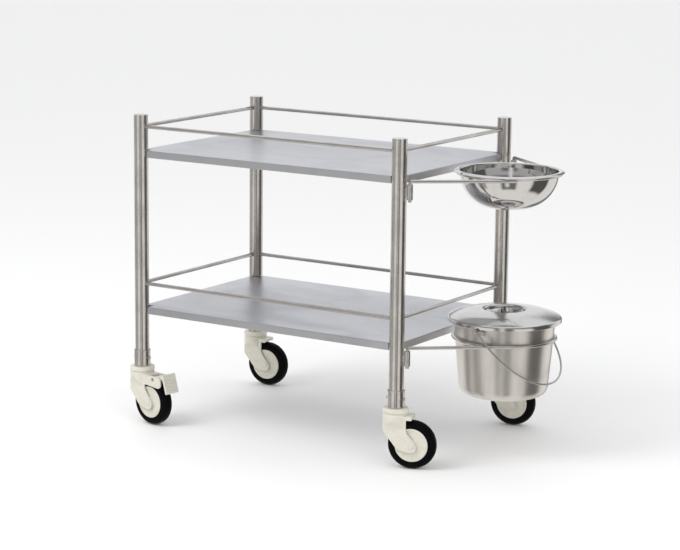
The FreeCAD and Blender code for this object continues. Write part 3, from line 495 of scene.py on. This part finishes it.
def studio_floor():
    mesh = bpy.data.meshes.new("floor")
    signs = ((-1, -1), (1, -1), (1, 1), (-1, 1))
    mesh.from_pydata([(FLOOR_HALF * x, FLOOR_HALF * y, 0) for x, y in signs], [], [(0, 1, 2, 3)])
    floor = linked("floor", mesh)
    finish = Finish("floor_pale", (0.93, 0.93, 0.93), 0.0)
    speckle = finish.noise(evenly(3))
    finish.link(finish.mapped(speckle, 0.3, 0.7, 0.6, 0.7), "Roughness")
    mesh.materials.append(finish.material)
    floor.visible_glossy = False


# ---- welds -----------------------------------------------------------------------------------

BEAD_RADIUS = 0.9 * MM
SMALL_BEAD_RADIUS = 0.8 * BEAD_RADIUS
# How far the middle of a rail's bead lies outside the rail.
BEAD_REACH = 0.3 * BEAD_RADIUS
BEAD_SIDES = 8
RIPPLES = 9
RIPPLE_HEIGHT = 0.14
LOOP_POINTS = 48

# How square a loop is: the power that its cosine and sine are raised to, 1 for an ellipse.
ROUND, SOCKET_CORNERS, EAR_CORNERS = 1.0, 0.35, 0.3
SOCKET_WEB_HALF_WIDTH = 2.4 * MM
SOCKET_WEB_HALF_HEIGHT = 8.2 * MM
BUCKET_RADIUS_AT_EARS = 129.3 * MM


def add_bead(mesh, points, radius):
    """A closed bead along a loop of points, a little rippled like a hand-laid weld."""
    count = len(points)
    centre = sum(points, Vector()) / count
    rings = []
    for i, point in enumerate(points):
        tangent = (points[(i + 1) % count] - points[i - 1]).normalized()
        out = point - centre
        out = (out - tangent * out.dot(tangent)).normalized()
        across = tangent.cross(out)
        swell = radius * (1 + RIPPLE_HEIGHT * math.sin(2 * math.pi * RIPPLES * i / count))
        ring = []
        for k in range(BEAD_SIDES):
            angle = 2 * math.pi * k / BEAD_SIDES
            offset = out * math.cos(angle) + across * math.sin(angle)
            ring.append(mesh.verts.new(point + offset * swell))
        rings.append(ring)
    for i, ring in enumerate(rings):
        following = rings[(i + 1) % count]
        for k in range(BEAD_SIDES):
            turn = (k + 1) % BEAD_SIDES
            mesh.faces.new((ring[k], ring[turn], following[turn], following[k])).smooth = True


def loop_on_tube(tube, radius, outward, half_width, half_height, height, squareness):
    """A loop on the outside of an upright tube, where something outward meets it."""
    across = Z.cross(outward)
    points = []
    for k in range(LOOP_POINTS):
        angle = 2 * math.pi * k / LOOP_POINTS
        cosine, sine = math.cos(angle), math.sin(angle)
        wide = half_width * math.copysign(abs(cosine) ** squareness, cosine)
        tall = half_height * math.copysign(abs(sine) ** squareness, sine)
        depth = math.sqrt(radius ** 2 - wide ** 2)
        points.append(Vector((tube.x, tube.y, height + tall)) + outward * depth + across * wide)
    return points


def weld_object(mesh, name, body, material):
    """Turn the beads in a bmesh into one piece that rides on a body."""
    bmesh.ops.recalc_face_normals(mesh, faces=mesh.faces)
    data = bpy.data.meshes.new(name)
    mesh.to_mesh(data)
    mesh.free()
    data.materials.append(material)
    made = linked(name, data)
    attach(made, body)


def frame_welds(material):
    """Beads where the guard rails and the socket webs meet the posts."""
    mesh = bmesh.new()
    for corner in CORNERS:
        end, side = corner.split("_")
        post = middle(f"post_{corner}")
        radius = size(f"post_{corner}").x / 2
        inward = {side: X if side == "left" else -X, end: Y if end == "front" else -Y}
        for level in ("upper", "lower"):
            # The rail along the front or back leaves the post sideways, the other one in depth.
            for rail, direction in ((end, inward[side]), (side, inward[end])):
                rod = f"{level}_rail_{rail}"
                reach = size(rod).z / 2 + BEAD_REACH
                loop = loop_on_tube(post, radius, direction, reach, reach, middle(rod).z, ROUND)
                add_bead(mesh, loop, BEAD_RADIUS)
        if side == "right":
            for sockets in ("bowl_ring_sockets", "bucket_ring_sockets"):
                loop = loop_on_tube(post, radius, X, SOCKET_WEB_HALF_WIDTH,
                                    SOCKET_WEB_HALF_HEIGHT, middle(sockets).z, SOCKET_CORNERS)
                add_bead(mesh, loop, SMALL_BEAD_RADIUS)
    weld_object(mesh, "welds_frame", "frame", material)


def ear_welds(material):
    """A bead round each bail ear on the bucket's wall."""
    mesh = bmesh.new()
    ears = size("bucket_ears")
    for outward in (-Y, Y):
        loop = loop_on_tube(middle("bucket"), BUCKET_RADIUS_AT_EARS, outward, ears.x / 2,
                            ears.z / 2, middle("bucket_ears").z, EAR_CORNERS)
        add_bead(mesh, loop, SMALL_BEAD_RADIUS)
    weld_object(mesh, "welds_bucket_ears", "bucket", material)


def plain_view():
    """Show colours as they are, without a film look."""
    view = bpy.context.scene.view_settings
    view.view_transform = "Standard"
    view.look = "None"


dress_nodes()
weld_steel = weld_metal("steel_weld")
frame_welds(weld_steel)
ear_welds(weld_steel)
camera()
studio_world()
studio_lights()
studio_floor()
plain_view()
